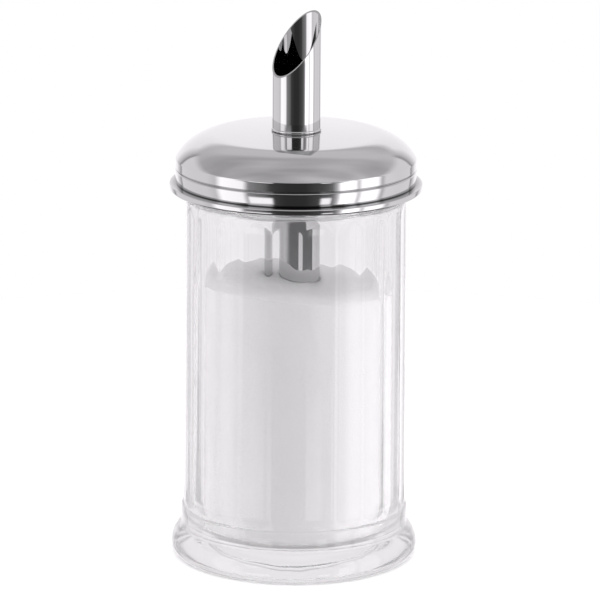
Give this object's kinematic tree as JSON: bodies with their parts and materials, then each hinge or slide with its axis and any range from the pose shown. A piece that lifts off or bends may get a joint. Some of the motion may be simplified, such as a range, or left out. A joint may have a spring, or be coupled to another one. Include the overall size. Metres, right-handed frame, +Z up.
{
  "type": "sugar dispenser",
  "caption": "Fluted clear glass jar on a round foot, with a domed steel screw lid and a slant-cut steel tube through its middle that pours one spoonful of sugar each time it is tipped.",
  "frame": {"origin": "middle of the circle that the glass foot stands on, on the surface under it", "axes": "+Z up along the jar's axis, -Y towards the front, +X to the right of someone who faces the front"},
  "size_m": [0.0772, 0.0772, 0.1693],
  "materials": {
    "clear_glass": "clear pressed glass, fire-polished",
    "sugar": "white granulated sugar",
    "seal_rubber": "pale translucent silicone rubber",
    "polished_steel": "polished stainless steel sheet",
    "ring_plastic": "moulded natural white plastic",
    "tube_steel": "polished stainless steel tube",
    "collar_steel": "plain pressed stainless steel"
  },
  "bodies": {
    "jar": {"glass_jar": "clear_glass", "sugar_fill": "sugar"},
    "seal": {"rim_seal": "seal_rubber"},
    "lid": {"lid_shell": "polished_steel", "thread_ring": "ring_plastic", "dosing_tube": "tube_steel", "tube_collar": "collar_steel"}
  },
  "joints": [
    {"name": "lid_lift", "type": "slide", "parent": "jar", "child": "seal", "axis": [0, 0, 1], "range_m": [0, 0.135]},
    {"name": "lid_turn", "type": "hinge", "parent": "seal", "child": "lid", "pos_m": [0, 0, 0.126], "axis": [0, 0, 1], "range_deg": [0, 360]}
  ]
}
